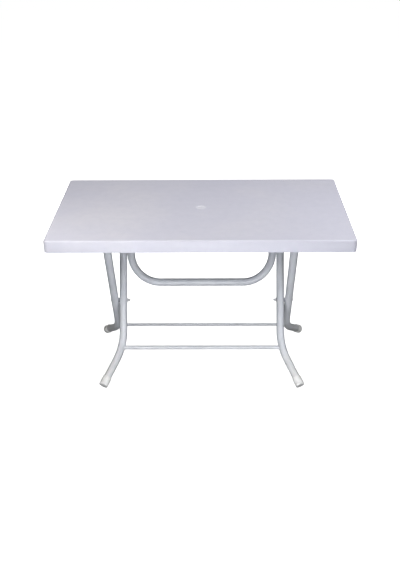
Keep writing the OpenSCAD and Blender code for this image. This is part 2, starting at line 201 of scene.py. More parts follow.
def make_top_plastic():
    look = Look("moulded_top", (0.56, 0.56, 0.64), 0.42, Specular_IOR_Level=0.45)
    broad = look.noise(2.2, 3, 0.55)
    middling = look.noise(26, 4, 0.6)
    colour = look.blend(look.remap(broad, 0.35, 0.65), (0.545, 0.545, 0.63), (0.585, 0.58, 0.645))
    colour = look.blend(look.remap(middling, 0.3, 0.8, 0, 0.35), colour, (0.50, 0.505, 0.585))
    marks = scratches(look, 9, 900, 0.63)
    colour = look.blend(look.math("MULTIPLY", marks, 0.3), colour, (0.72, 0.72, 0.76))
    # The outer edges are polished by handling and slightly paler within this band: partly wear, partly a painted
    # highlight along the edge
    band = 7 * MM
    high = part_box("top_panel")[1]
    x_edge = look.math("SUBTRACT", look.math("ABSOLUTE", look.axis("X")), high.x - band)
    y_edge = look.math("SUBTRACT", look.math("ABSOLUTE", look.axis("Y")), high.y - band)
    edge = look.remap(look.math("MAXIMUM", x_edge, y_edge), -1 * MM, 3 * MM)
    rim = look.math("MULTIPLY", edge, look.remap(look.axis("Z"), high.z - 9 * MM, high.z - 3 * MM))
    # Paler rim: wear, and a painted highlight along the edge
    colour = look.blend(look.math("MULTIPLY", rim, 0.12), colour, (0.66, 0.66, 0.73))
    # The plug is of a lighter batch of the same plastic
    in_plan = look.stretched((1, 1, 0))
    reach = look.node("ShaderNodeVectorMath", {0: in_plan}, 1, operation="LENGTH")
    plug_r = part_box("centre_plug")[1].x
    on_plug = look.remap(reach, plug_r + 0.1 * MM, plug_r, 0, 0.4)
    colour = look.blend(on_plug, colour, (0.70, 0.70, 0.75))
    roughness = look.remap(middling, 0.2, 0.8, 0.36, 0.48)
    roughness = look.math("ADD", roughness, look.math("MULTIPLY", marks, 0.16))
    roughness = look.math("SUBTRACT", roughness, look.math("MULTIPLY", rim, 0.08))
    look.bump(look.noise(5, 2, 0.5), 0.6 * MM, 0.25)
    look.bump(look.cells(760, feature="SMOOTH_F1"), 0.05 * MM, 0.5)
    look.bump(look.noise(1900, 2, 0.6), 0.03 * MM, 0.5)
    look.bump(marks, -0.03 * MM, 0.6)
    return look.finish(colour, roughness)


def make_tube_coat():
    look = Look("powder_coat", (0.60, 0.615, 0.66), 0.38, Coat_Weight=0.25, Coat_Roughness=0.3)
    broad = look.noise(9, 3, 0.55)
    speckle = look.noise(1500, 2, 0.6)
    colour = look.blend(look.remap(broad, 0.35, 0.65), (0.565, 0.585, 0.635), (0.62, 0.64, 0.68))
    colour = look.blend(look.remap(speckle, 0.55, 0.75, 0, 0.5), colour, (0.72, 0.73, 0.75))
    # Scuffs and dust gather near the feet
    low_down = look.remap(look.axis("Z"), 0.16, 0.02)
    uneven = look.remap(look.noise(40, 4, 0.65), 0.3, 0.7, 0.45, 0.85)
    dust = look.math("MULTIPLY", low_down, uneven)
    colour = look.blend(dust, colour, (0.625, 0.62, 0.605))
    rubbed = look.remap(look.noise(120, 5, 0.7, distortion=0.8), 0.6, 0.68)
    scuff = look.math("MULTIPLY", rubbed, low_down)
    colour = look.blend(look.math("MULTIPLY", scuff, 0.5), colour, (0.30, 0.30, 0.30))
    roughness = look.remap(look.noise(60, 4, 0.6), 0.25, 0.75, 0.32, 0.46)
    roughness = look.math("ADD", roughness, look.math("MULTIPLY", scuff, 0.2))
    look.bump(look.noise(330, 3, 0.55), 0.06 * MM, 0.55)
    look.bump(speckle, 0.02 * MM, 0.4)
    return look.finish(colour, roughness)


def make_cap_plastic():
    look = Look("cap_plastic", (0.7, 0.7, 0.7), 0.48)
    mottle = look.noise(70, 4, 0.6)
    colour = look.blend(look.remap(mottle, 0.3, 0.7), (0.69, 0.69, 0.685), (0.745, 0.745, 0.74))
    # Darker towards the floor: partly dirt, partly painted shade low on the feet
    near_floor = look.remap(look.axis("Z"), 16 * MM, 3 * MM)
    uneven = look.remap(look.noise(180, 5, 0.7), 0.35, 0.6, 0.35, 1)
    dirt_and_painted_shade = look.math("MULTIPLY", near_floor, uneven)
    colour = look.blend(look.math("MULTIPLY", dirt_and_painted_shade, 0.55), colour, (0.16, 0.155, 0.15))
    roughness = look.remap(mottle, 0.25, 0.75, 0.42, 0.58)
    roughness = look.math("ADD", roughness, look.math("MULTIPLY", dirt_and_painted_shade, 0.2))
    look.bump(look.cells(900, feature="SMOOTH_F1"), 0.05 * MM, 0.5)
    look.bump(look.noise(260, 4, 0.7), 0.05 * MM, 0.4)
    return look.finish(colour, roughness)


def make_bracket_plastic():
    look = Look("glass_filled_nylon", (0.27, 0.275, 0.32), 0.52)
    flow = look.noise(30, 4, 0.65, look.stretched((1, 0.25, 1)), 0.6)
    fibres = look.noise(1, 3, 0.6, look.stretched((300, 1400, 900)))
    colour = look.blend(look.remap(flow, 0.3, 0.7), (0.25, 0.255, 0.295), (0.30, 0.305, 0.35))
    colour = look.blend(look.remap(fibres, 0.58, 0.72, 0, 0.4), colour, (0.42, 0.42, 0.46))
    roughness = look.remap(flow, 0.3, 0.7, 0.46, 0.6)
    look.bump(fibres, 0.04 * MM, 0.5)
    look.bump(look.noise(500, 3, 0.6), 0.04 * MM, 0.4)
    return look.finish(colour, roughness)


def make_zinc():
    look = Look("zinc_plate", (0.72, 0.73, 0.74), 0.4, Metallic=0.3)
    spangle = look.cells(260)
    cloud = look.noise(90, 4, 0.6)
    colour = look.blend(look.remap(cloud, 0.3, 0.7), (0.66, 0.67, 0.69), (0.78, 0.785, 0.79))
    stain = look.remap(look.noise(40, 5, 0.7), 0.6, 0.75, 0, 0.5)
    colour = look.blend(stain, colour, (0.42, 0.38, 0.32))
    roughness = look.remap(spangle, 0, 0.8, 0.34, 0.5)
    look.bump(look.noise(700, 3, 0.6), 0.02 * MM, 0.5)
    return look.finish(colour, roughness)


LOOKS = {
    "top_plastic": make_top_plastic(),
    "tube_coat": make_tube_coat(),
    "cap_plastic": make_cap_plastic(),
    "bracket_plastic": make_bracket_plastic(),
    "zinc": make_zinc(),
}


# ---- Mesh building ----

SHARP_ANGLE = math.radians(35)
MERGE_DISTANCE = 0.005 * MM
BODY_OF = {node: body
           for body, nodes in frame["record"]["behaviour"]["bodies"].items()
           for node in nodes}


def smooth_by_angle(bm, limit):
    """Smooth shading, broken at edges that turn by more than the limit."""
    bmesh.ops.recalc_face_normals(bm, faces=bm.faces)
    for face in bm.faces:
        face.smooth = True
    for edge in bm.edges:
        edge.smooth = len(edge.link_faces) == 2 and edge.calc_face_angle(0) < limit


def piece(name, bm, body, slot, replaces=(), smooth_angle=SHARP_ANGLE):
    """Turns a bmesh into a finished piece that rides on a body."""
    bmesh.ops.remove_doubles(bm, verts=bm.verts, dist=MERGE_DISTANCE)
    smooth_by_angle(bm, smooth_angle)
    if not bm.faces:
        raise ValueError(f"{name} is empty")
    mesh = bpy.data.meshes.new(name)
    bm.to_mesh(mesh)
    bm.free()
    mesh.materials.append(LOOKS[slot])
    made = bpy.data.objects.new(name, mesh)
    bpy.context.scene.collection.objects.link(made)
    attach(made, body)
    if replaces:
        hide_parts(*replaces)


def bridge(bm, one, two):
    """Quads, or triangles at a single point, between two rings of vertices."""
    steps = max(len(one), len(two))
    for i in range(steps):
        j = (i + 1) % steps
        corners = [one[i % len(one)], one[j % len(one)], two[j % len(two)], two[i % len(two)]]
        face = [v for n, v in enumerate(corners) if v not in corners[:n]]
        if len(face) > 2:
            bm.faces.new(face)


def circle_ring(bm, radius, height, place, steps):
    if radius == 0:
        return [bm.verts.new(place @ Vector((0, 0, height)))]
    ring = []
    for i in range(steps):
        a = 2 * math.pi * i / steps
        point = Vector((radius * math.cos(a), radius * math.sin(a), height))
        ring.append(bm.verts.new(place @ point))
    return ring


def lathe(bm, profile, place, steps):
    """Revolves a closed (radius, height) outline about Z; it may start and end on the axis."""
    rings = [circle_ring(bm, radius, height, place, steps) for radius, height in profile]
    for one, two in zip(rings, rings[1:] + rings[:1]):
        if len(one) > 1 or len(two) > 1:
            bridge(bm, one, two)


def arc(cx, cz, r, start, end, steps):
    """Points of an arc in a (radius, height) profile, angles in degrees."""
    out = []
    for i in range(steps + 1):
        a = math.radians(start + (end - start) * i / steps)
        out.append((cx + r * math.cos(a), cz + r * math.sin(a)))
    return out


def bevelled(bm, edges, width):
    bmesh.ops.bevel(bm, geom=edges, offset=width, segments=2, profile=0.5, affect="EDGES",
                    clamp_overlap=True)


def box(bm, low, high, taper, bevel):
    """Box whose lower face is drawn in by the taper on all sides, with its edges rounded."""
    made = bmesh.ops.create_cube(bm, size=1)["verts"]
    for v in made:
        inset = taper if v.co.z < 0 else 0
        for axis in range(3):
            half = (high[axis] - low[axis]) / 2 - (inset if axis < 2 else 0)
            v.co[axis] = (low[axis] + high[axis]) / 2 + math.copysign(half, v.co[axis])
    edges = list({e for v in made for e in v.link_edges})
    bevelled(bm, edges, bevel)


def carved(bm, cutter):
    """The first bmesh less the second, by Blender's manifold boolean."""
    holders = []
    for name, source in (("carve_target", bm), ("carve_cutter", cutter)):
        bmesh.ops.recalc_face_normals(source, faces=source.faces)
        mesh = bpy.data.meshes.new(name)
        source.to_mesh(mesh)
        source.free()
        holders.append(bpy.data.objects.new(name, mesh))
        bpy.context.scene.collection.objects.link(holders[-1])
    cut = holders[0].modifiers.new("cut", "BOOLEAN")
    cut.operation = "DIFFERENCE"
    cut.solver = "MANIFOLD"
    cut.object = holders[1]
    out = bmesh.new()
    out.from_object(holders[0], bpy.context.evaluated_depsgraph_get())
    for holder in holders:
        mesh = holder.data
        bpy.data.objects.remove(holder)
        bpy.data.meshes.remove(mesh)
    return out


def softened(node, slot, width):
    """A copy of a CAD node with its sharp edges rounded, in place of the node."""
    source = frame["nodes"][node]
    bm = bmesh.new()
    bm.from_mesh(source.data)
    bm.transform(source.matrix_world)
    bmesh.ops.remove_doubles(bm, verts=bm.verts, dist=0.002 * MM)
    bmesh.ops.dissolve_limit(bm, angle_limit=math.radians(0.5), verts=bm.verts, edges=bm.edges)
    sharp = [e for e in bm.edges if len(e.link_faces) == 2 and e.calc_face_angle(0) > SHARP_ANGLE]
    bevelled(bm, sharp, width)
    piece(node + "_moulding", bm, BODY_OF[node], slot, [node])


# ---- Table top ----

TOP_LOW, TOP_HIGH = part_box("top_panel")
SKIN_Z = TOP_HIGH.z - 5 * MM
PAD_Z = TOP_HIGH.z - 30 * MM
RIB_Z = TOP_HIGH.z - 25 * MM
RIB_PITCH = 100 * MM
RIB_HALF_T = 1.9 * MM
RIB_STAGGER = 0.15 * MM
RIB_TAPER = 0.4 * MM
RIB_BEVEL = 0.5 * MM
PAD_MARGIN = 5 * MM
PAD_TAPER = 0.8 * MM
PAD_BEVEL = 0.8 * MM
LIP_R = 1.2 * MM
APRON_T = 4 * MM
CORNER_R = 16 * MM
CORNER_STEPS = 14
EDGE_R = 7 * MM
PLUG_R = 21 * MM
PLUG_HEAD_T = 2 * MM
PLUG_L = 28 * MM
PLUG_WALL = 2 * MM
HOLE_R = 17 * MM
BOSS_R = 23 * MM


def plan_ring(bm, inset, z):
    """Rounded rectangle inside the top's outline."""
    r = CORNER_R - inset
    ring = []
    for corner, (sx, sy) in enumerate(((1, 1), (-1, 1), (-1, -1), (1, -1))):
        for i in range(CORNER_STEPS + 1):
            a = math.pi / 2 * (corner + i / CORNER_STEPS)
            ring.append(bm.verts.new((sx * (TOP_HIGH.x - CORNER_R) + r * math.cos(a),
                                      sy * (TOP_HIGH.y - CORNER_R) + r * math.sin(a), z)))
    return ring


def fill_between(bm, *rings):
    edges = []
    for ring in rings:
        for a, b in zip(ring, ring[1:] + ring[:1]):
            edges.append(bm.edges.get((a, b)) or bm.edges.new((a, b)))
    bmesh.ops.triangle_fill(bm, edges=edges, use_beauty=True)


def make_top():
    bm = bmesh.new()
    low, high = TOP_LOW.z, TOP_HIGH.z
    fillet_x, fillet_r = APRON_T + 2 * MM, 1.5 * MM
    profile = [(APRON_T + 2.5 * MM, SKIN_Z), (fillet_x, SKIN_Z)]
    profile += arc(fillet_x, SKIN_Z - fillet_r, fillet_r, 90, 180, 4)[1:]
    profile += [(APRON_T, low + 20 * MM)]
    profile += arc(APRON_T - LIP_R, low + LIP_R, LIP_R, 0, -90, 4)
    profile += arc(LIP_R, low + LIP_R, LIP_R, -90, -180, 4)
    profile += [(0, high - 30 * MM)]
    profile += arc(EDGE_R, high - EDGE_R, EDGE_R, 180, 90, 10)
    profile += [(EDGE_R + 0.6 * MM, high)]
    rings = [plan_ring(bm, inset, z) for inset, z in profile]
    for one, two in zip(rings, rings[1:]):
        bridge(bm, one, two)
    # The hole, down through its boss and back up the outside
    gap, rim_r = 0.15 * MM, 0.5 * MM
    edge_r, fillet_r = 0.8 * MM, 1 * MM
    hole = [(PLUG_R + 1.2 * MM, high)]
    hole += arc(PLUG_R + gap + rim_r, high - rim_r, rim_r, 90, 180, 3)
    hole += [(PLUG_R + gap, high - PLUG_HEAD_T), (HOLE_R + gap, high - PLUG_HEAD_T)]
    hole += [(HOLE_R + gap, PAD_Z), (BOSS_R - edge_r, PAD_Z)]
    hole += arc(BOSS_R - edge_r, PAD_Z + edge_r, edge_r, -90, 0, 3)[1:]
    hole += [(BOSS_R, SKIN_Z - fillet_r)]
    hole += arc(BOSS_R + fillet_r, SKIN_Z - fillet_r, fillet_r, 180, 90, 3)[1:]
    hole += [(BOSS_R + 1.6 * MM, SKIN_Z)]
    hole_rings = [circle_ring(bm, radius, z, Matrix(), 64) for radius, z in hole]
    for one, two in zip(hole_rings, hole_rings[1:]):
        bridge(bm, one, two)
    fill_between(bm, rings[-1], hole_rings[0])
    fill_between(bm, rings[0], hole_rings[-1])
    add_ribs(bm)
    for node in ("hinge_bracket_left", "hinge_bracket_right", "rear_clip_left", "rear_clip_right"):
        add_pad(bm, node)
    piece("top_moulding", bm, "table_top", "top_plastic", ["top_panel"])


def add_ribs(bm):
    """Ribs with draft along Y and then along X, left out where the boss is."""
    for along in range(2):
        reach = (TOP_HIGH.y, TOP_HIGH.x)[along]
        span = (TOP_HIGH.x, TOP_HIGH.y)[along]
        count = int((span - APRON_T) / RIB_PITCH)
        for i in range(-count, count + 1):
            ends = (-reach + APRON_T / 2, reach - APRON_T / 2)
            parts = [ends] if i else [(ends[0], -BOSS_R + 1 * MM), (BOSS_R - 1 * MM, ends[1])]
            for start, stop in parts:
                # The two directions end at slightly different heights, so that no faces coincide
                low_corner = [i * RIB_PITCH - RIB_HALF_T, start, RIB_Z + along * RIB_STAGGER]
                high_corner = [i * RIB_PITCH + RIB_HALF_T, stop, SKIN_Z + 1 * MM]
                if along:
                    low_corner[:2], high_corner[:2] = low_corner[1::-1], high_corner[1::-1]
                box(bm, low_corner, high_corner, RIB_TAPER, RIB_BEVEL)


def add_pad(bm, node):
    """The pad that a bracket or clip is screwed to."""
    low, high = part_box(node)
    margin = Vector((PAD_MARGIN, PAD_MARGIN, 0))
    low_corner, high_corner = low - margin, high + margin
    low_corner.z, high_corner.z = PAD_Z, SKIN_Z + 1 * MM
    box(bm, low_corner, high_corner, PAD_TAPER, PAD_BEVEL)


def make_plug():
    bm = bmesh.new()
    high = TOP_HIGH.z
    # A raised middle and a raised ring in a shallow dish
    dish, inside = high - 0.9 * MM, high - 3.4 * MM
    profile = [(0, high - 0.5 * MM), (1.6 * MM, high - 0.55 * MM), (2.2 * MM, dish), (8 * MM, dish)]
    slope = arc(15 * MM, high + 12.1 * MM, 13 * MM, 238, 270, 5)[1:]
    profile += [p for p in slope if p[1] <= high]
    profile += [(16.4 * MM, dish), (17.2 * MM, high - 0.2 * MM), (18 * MM, high)]
    edge_r = 0.7 * MM
    profile += [(PLUG_R - edge_r, high)]
    profile += arc(PLUG_R - edge_r, high - edge_r, edge_r, 90, 0, 4)[1:]
    profile += [(PLUG_R, high - PLUG_HEAD_T), (HOLE_R, high - PLUG_HEAD_T)]
    profile += [(HOLE_R, high - PLUG_L + 1 * MM), (HOLE_R - 0.8 * MM, high - PLUG_L)]
    bore = HOLE_R - PLUG_WALL
    profile += [(bore, high - PLUG_L), (bore, inside), (0, inside)]
    lathe(bm, profile, Matrix(), 72)
    piece("parasol_hole_plug", bm, "table_top", "top_plastic", ["centre_plug"])


# ---- Feet and bar ends ----

# Grip grooves, in mm above the cap's end face
CAP_GROOVES = (12, 17, 22)
GROOVE_HALF_W = 1.6
CAP_FLOOR_T = 5 * MM
BAR_PLUG_L = 12 * MM
BAR_PLUG_FINS = 3


def foot_place(body, side):
    """From the middle of a foot's end face, Z up the foot, to the CAD frame."""
    mirror = Matrix.Scale(-1, 4, (0, 0, 1))
    foot = turn(-FOOT_TURN, "Z") @ shift(0, 0, -BEND_DROP) @ turn(-FOOT_BEND, "Y") @ mirror
    leg = mirrored(side) @ LEAN[body] @ shift(LEG_X[body], 0, 0)
    return leg @ foot @ shift(0, 0, FOOT_LEN) @ mirror


def make_foot_cap(name, body, side):
    r, neck, edge_r = CAP_R, CAP_R - 0.5 * MM, 4 * MM
    profile = [(0, 0.9 * MM), (7 * MM, 0.9 * MM), (8 * MM, 0.2 * MM), (r - 5 * MM, 0)]
    profile += arc(r - edge_r, edge_r, edge_r, -85, 0, 8)
    for middle in CAP_GROOVES:
        profile += [(r, (middle - GROOVE_HALF_W) * MM)]
        profile += arc(r + 0.3 * MM, middle * MM, 1.2 * MM, 232, 128, 5)
        profile += [(r, (middle + GROOVE_HALF_W) * MM)]
    profile += [(r, 27 * MM), (neck, 30 * MM), (neck, CAP_L - 8 * MM)]
    # A bead round the mouth, flattened to the cap's own radius
    profile += arc(neck, CAP_L - 3.6 * MM, 2.6 * MM, -80, 80, 8)
    profile = [(min(radius, r), height) for radius, height in profile]
    profile += [(neck - 0.4 * MM, CAP_L - 0.5 * MM), (LEG_R + 0.8 * MM, CAP_L)]
    profile += [(LEG_R, CAP_L - 0.6 * MM), (LEG_R, CAP_FLOOR_T), (0, CAP_FLOOR_T)]
    bm = bmesh.new()
    lathe(bm, profile, foot_place(body, side), 72)
    bmesh.ops.recalc_face_normals(bm, faces=bm.faces)
    # The end is cut level with the floor
    geometry = bm.verts[:] + bm.edges[:] + bm.faces[:]
    cut = bmesh.ops.bisect_plane(bm, geom=geometry, plane_co=(0, 0, 0), plane_no=(0, 0, 1),
                                 clear_inner=True)
    rim = [e for e in cut["geom_cut"] if isinstance(e, bmesh.types.BMEdge)]
    bmesh.ops.holes_fill(bm, edges=rim, sides=0)
    piece(name + "_moulding", bm, body, "cap_plastic", [name])


def make_bar_plugs(name, bar, body):
    low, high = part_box(bar)
    middle = (low + high) / 2
    bore, edge_r = BAR_R - BAR_WALL, 1.2 * MM
    bm = bmesh.new()
    for side in (-1, 1):
        place = mirrored(side) @ shift(high.x, middle.y, middle.z) @ turn(math.pi / 2, "Y")
        profile = [(0, 1.3 * MM), (5 * MM, 1.3 * MM), (6 * MM, 1.9 * MM)]
        profile += arc(BAR_R - edge_r, 0.8 * MM, edge_r, 90, 0, 5)
        profile += [(BAR_R, 0), (bore, 0)]
        for fin in range(BAR_PLUG_FINS):
            z = -(2.5 + 3 * fin) * MM
            profile += [(bore - 0.8 * MM, z), (bore, z - 0.6 * MM)]
            profile += [(bore, z - 1.2 * MM), (bore - 0.8 * MM, z - 1.8 * MM)]
        profile += [(bore - 1.5 * MM, -BAR_PLUG_L), (0, -BAR_PLUG_L)]
        lathe(bm, profile, place, 48)
    piece(name + "_moulding", bm, body, "cap_plastic", [name])


# ---- Bolts, nuts and screws ----

BOLT_R = 4 * MM
BOLT_HEAD_R = 7 * MM
BOLT_HEAD_H = 3 * MM
SOCKET_R = 2.2 * MM
SOCKET_DEPTH = 1.4 * MM
NUT_ACROSS = 15 * MM
NUT_H = 7 * MM
NUT_DOME_Z = 6.1 * MM
NUT_DOME_R = 6.4 * MM
WASHER_T = 1.6 * MM
WASHER_BORE_R = 4.1 * MM
SCREW_R = 2.25 * MM
SCREW_HEAD_R = 4.5 * MM
SCREW_HEAD_H = 3 * MM
SCREW_SEED = 7
# Half the width and half the length of the two slots that make the cross recess
RECESS_HALF = (0.45 * MM, 2.4 * MM)
# Vertices closer than this in plan belong to the same screw head
HEAD_SPACING = 12 * MM


def hex_prism(bm, across, height, place):
    """Hexagonal prism from Z = 0 up, with its corners chamfered; across is over its corners."""
    chamfer = 0.7 * MM
    corner = across / 2
    rings = [circle_ring(bm, radius, z, place, 6)
             for radius, z in ((corner - chamfer, 0), (corner, chamfer * 0.6),
                               (corner, height - chamfer * 0.6), (corner - chamfer, height))]
    for one, two in zip(rings, rings[1:]):
        bridge(bm, one, two)
    bm.faces.new(rings[0])
    bm.faces.new(rings[-1])


def make_bolts():
    for word, side in SIDES.items():
        bolt, nut = "pivot_bolt_" + word, "pivot_nut_" + word
        inner, reach = sorted(abs(corner.x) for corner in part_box(bolt))
        place = mirrored(side) @ shift(reach, PIVOT.y, PIVOT.z) @ turn(math.pi / 2, "Y")
        dome = (BOLT_HEAD_R ** 2 + BOLT_HEAD_H ** 2) / (2 * BOLT_HEAD_H)
        spread = math.degrees(math.asin(BOLT_HEAD_R / dome))
        profile = [(0, -SOCKET_DEPTH), (SOCKET_R, -SOCKET_DEPTH)]
        crown = arc(0, -dome, dome, 90, 90 - spread, 12)
        profile += [p for p in crown if p[0] > SOCKET_R + 0.4 * MM]
        under_head = -BOLT_HEAD_H - 0.1 * MM
        profile += [(BOLT_HEAD_R - 0.3 * MM, under_head), (BOLT_R, under_head)]
        profile += [(BOLT_R, inner - reach + 0.8 * MM), (BOLT_R - 0.7 * MM, inner - reach)]
        profile += [(0, inner - reach)]
        bm = bmesh.new()
        lathe(bm, profile, place, 48)
        piece(bolt + "_turned", bm, "outer_frame", "zinc", [bolt])
        face = max(abs(corner.x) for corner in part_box(nut))
        place = mirrored(side) @ shift(face, PIVOT.y, PIVOT.z) @ turn(-math.pi / 2, "Y")
        bm = bmesh.new()
        hex_prism(bm, NUT_ACROSS, NUT_H, place)
        profile = [(0, 5 * MM), (6.3 * MM, 5 * MM), (6.3 * MM, 6.6 * MM)]
        profile += arc(0, NUT_DOME_Z, NUT_DOME_R, 6, 90, 10)[:-1]
        profile += [(0, NUT_DOME_Z + NUT_DOME_R)]
        lathe(bm, profile, place, 48)
        piece(nut + "_domed", bm, "outer_frame", "zinc", [nut])


def make_washers():
    bm = bmesh.new()
    low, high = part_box("pivot_washers")
    outer = (high.z - low.z) / 2
    r, edge = WASHER_BORE_R, 0.2 * MM
    for side in (-1, 1):
        face = shift(high.x - WASHER_T, PIVOT.y, PIVOT.z)
        place = mirrored(side) @ face @ turn(math.pi / 2, "Y")
        profile = [(r, edge), (r + edge, 0)]
        profile += [(outer - 0.5 * MM, 0), (outer, 0.5 * MM)]
        profile += [(outer, WASHER_T - 0.4 * MM), (outer - 0.4 * MM, WASHER_T)]
        profile += [(r + edge, WASHER_T), (r, WASHER_T - edge)]
        lathe(bm, profile, place, 48)
    piece("pivot_washers_stamped", bm, "outer_frame", "zinc", ["pivot_washers"])


def screw_template(length):
    """Pan-head screw as in the CAD, with a cross recess in its head."""
    profile = [(0, -SCREW_HEAD_H)] + arc(0, 1.2 * MM, 4.2 * MM, -90, -62, 4)[1:]
    profile += arc(SCREW_HEAD_R - 1.3 * MM, -1.3 * MM, 1.3 * MM, -70, 0, 5)
    profile += [(SCREW_HEAD_R, 0), (SCREW_R, 0), (SCREW_R, length - 3 * MM)]
    profile += [(0.4 * MM, length), (0, length)]
    bm = bmesh.new()
    lathe(bm, profile, Matrix(), 40)
    cutter = bmesh.new()
    for along in range(2):
        half = Vector(RECESS_HALF[::-1] if along else RECESS_HALF)
        made = bmesh.ops.create_cube(cutter, size=2)["verts"]
        for v in made:
            # The far end, inside the head, is half as wide; the near end is clear of the head
            draft, z = (0.5, -1.3 * MM) if v.co.z > 0 else (1, -4 * MM)
            v.co = (v.co.x * half.x * draft, v.co.y * half.y * draft, z)
        bmesh.ops.rotate(cutter, verts=made, cent=(0, 0, 0), matrix=Matrix.Rotation(0.01, 3, "Z"))
    return carved(bm, cutter)


def make_screws(name, length, count):
    """Screws at the places of the CAD node's separate heads."""
    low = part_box(name)[0]
    source = frame["nodes"][name]
    points = [source.matrix_world @ v.co for v in source.data.vertices]
    crowns = [p.xy for p in points if p.z < low.z + 0.1 * MM]
    heads = []
    for p in crowns:
        if all((p - q).length > HEAD_SPACING for q, _ in heads):
            heads.append((p, [other for other in crowns if (other - p).length < HEAD_SPACING]))
    template = screw_template(length)
    bm = bmesh.new()
    spin = random.Random(SCREW_SEED)
    for _, near in sorted(heads, key=lambda item: (round(item[0].x, 3), round(item[0].y, 3))):
        lows = Vector((min(q.x for q in near), min(q.y for q in near)))
        highs = Vector((max(q.x for q in near), max(q.y for q in near)))
        middle = (lows + highs) / 2
        copy = template.copy()
        seat = shift(middle.x, middle.y, low.z + SCREW_HEAD_H)
        copy.transform(seat @ turn(spin.uniform(0, math.pi / 2), "Z"))
        mesh = bpy.data.meshes.new("screw_copy")
        copy.to_mesh(mesh)
        bm.from_mesh(mesh)
        bpy.data.meshes.remove(mesh)
        copy.free()
    template.free()
    if len(heads) != count:
        raise ValueError(f"{name}: {len(heads)} heads found")
    piece(name + "_turned", bm, "table_top", "zinc", [name])


# ---- Weld beads ----

WELD_SEED = 20
BEAD_SIDES = 10
BEAD_STEP = 1.1 * MM
BEAD_MIN_STEP = 0.8 * MM
# Ripples and random lumps as a share of the bead's radius; a ripple is 2 pi times its scale long
RIPPLE = 0.13
RIPPLE_SCALE = 0.55 * MM
LUMPS = 0.07
STRETCHER_BEAD_R = 2.0 * MM
LEG_BEAD_R = 2.3 * MM
STITCH_R = 3.0 * MM
# Heights in mm up the leg from the bolt at which the stitches start, and the points of each
STITCH_STARTS = (236, 300, 364)
STITCH_POINTS = 22
# How far a stitch's line is from the plane through the legs
STITCH_Y = 7.6 * MM


def bead(bm, points, radius, seed, closed=True):
    """Rippled weld bead along a line of points; it tapers off at open ends."""
    lumps = random.Random(seed)
    spaced = [points[0]]
    for p in points[1:]:
        if (p - spaced[-1]).length > BEAD_MIN_STEP:
            spaced.append(p)
    points = spaced
    lengths = [0.0]
    total = len(points)
    for i in range(1, total + 1):
        lengths.append(lengths[-1] + (points[i % total] - points[i - 1]).length)
    phase = lumps.uniform(0, 6)
    rings = []
    for i, p in enumerate(points):
        before = points[i - 1] if closed or i else p
        after = points[(i + 1) % total] if closed or i < total - 1 else p
        along = (after - before).normalized()
        side = along.orthogonal().normalized()
        other = along.cross(side)
        ripple = RIPPLE * math.sin(lengths[i] / RIPPLE_SCALE + phase)
        size = radius * (1 + ripple + lumps.uniform(-LUMPS, LUMPS))
        if not closed:
            size *= min(1, 0.35 + min(i, total - 1 - i) / 2.5)
        if rings:
            # The ring starts beside the last one's start, so that the bead doesn't twist
            start = rings[-1][0].co - p
            start -= along * start.dot(along)
            side = start.normalized()
            other = along.cross(side)
        rings.append([bm.verts.new(p + (side * math.cos(a) + other * math.sin(a)) * size)
                      for a in (2 * math.pi * n / BEAD_SIDES for n in range(BEAD_SIDES))])
    for one, two in zip(rings, rings[1:]):
        bridge(bm, one, two)
    if closed:
        last, first = rings[-1], rings[0]
        start = min(range(BEAD_SIDES), key=lambda n: (first[n].co - last[0].co).length)
        bridge(bm, last, first[start:] + first[:start])
    else:
        bm.faces.new(rings[0])
        bm.faces.new(rings[-1])


def resampled(points, step):
    """Evenly spaced points along a closed loop."""
    out = []
    carry = 0.0
    for a, b in zip(points, points[1:] + points[:1]):
        length = (b - a).length
        while carry < length:
            out.append(a.lerp(b, carry / length))
            carry += step
        carry -= length
    return out


def end_loop(node, to_axis, radius, keep):
    """The outline of a coped tube end: the mesh's outer vertices there, in order round the tube.

    to_axis takes the CAD frame to one where the tube runs along Z; keep says which points belong
    to the end.
    """
    source = frame["nodes"][node]
    back = to_axis.inverted()
    found = {}
    for v in source.data.vertices:
        p = to_axis @ (source.matrix_world @ v.co)
        if abs(math.hypot(p.x, p.y) - radius) < 0.05 * MM and keep(p):
            found[round(math.degrees(math.atan2(p.y, p.x)), 1)] = p
    return resampled([back @ found[a] for a in sorted(found)], BEAD_STEP)


def make_welds():
    bm = {"inner_frame": bmesh.new(), "outer_frame": bmesh.new()}
    seed = WELD_SEED
    for body, node in (("inner_frame", "inner_stretcher"), ("outer_frame", "outer_stretcher")):
        low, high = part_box(node)
        radius = (high.z - low.z) / 2
        to_axis = turn(math.pi / 2, "Y").inverted() @ shift(*(low + high) / 2).inverted()
        for side in (-1, 1):
            loop = end_loop(node, to_axis, radius, lambda p: p.z * side > 0.2)
            bead(bm[body], loop, STRETCHER_BEAD_R, seed)
            seed += 1
    joints = [
        ("inner_frame", "inner_leg_left", -INNER_X),
        ("inner_frame", "inner_leg_right", INNER_X),
        ("inner_frame", "u_brace", -BRACE_X),
        ("inner_frame", "u_brace", BRACE_X),
        ("outer_frame", "outer_leg_left", -OUTER_X),
        ("outer_frame", "outer_leg_right", OUTER_X),
    ]
    for body, node, x in joints:
        to_axis = (LEAN[body] @ shift(x, 0, 0)).inverted()
        loop = end_loop(node, to_axis, LEG_R, lambda p: p.z > BAR_RISE - 30 * MM)
        bead(bm[body], loop, LEG_BEAD_R, seed)
        seed += 1
    # Stitches in the grooves between the brace's arms and the legs
    for side in (-1, 1):
        place = mirrored(side) @ LEAN["inner_frame"] @ shift(INNER_X - LEG_R - 0.1 * MM, 0, 0)
        for front in (-1, 1):
            for height in STITCH_STARTS:
                line = [place @ Vector((0, front * STITCH_Y, height * MM + BEAD_STEP * n))
                        for n in range(STITCH_POINTS)]
                bead(bm["inner_frame"], line, STITCH_R, seed, closed=False)
                seed += 1
    for body, mesh in bm.items():
        piece(body + "_welds", mesh, body, "tube_coat", smooth_angle=math.radians(80))


# ---- Camera ----

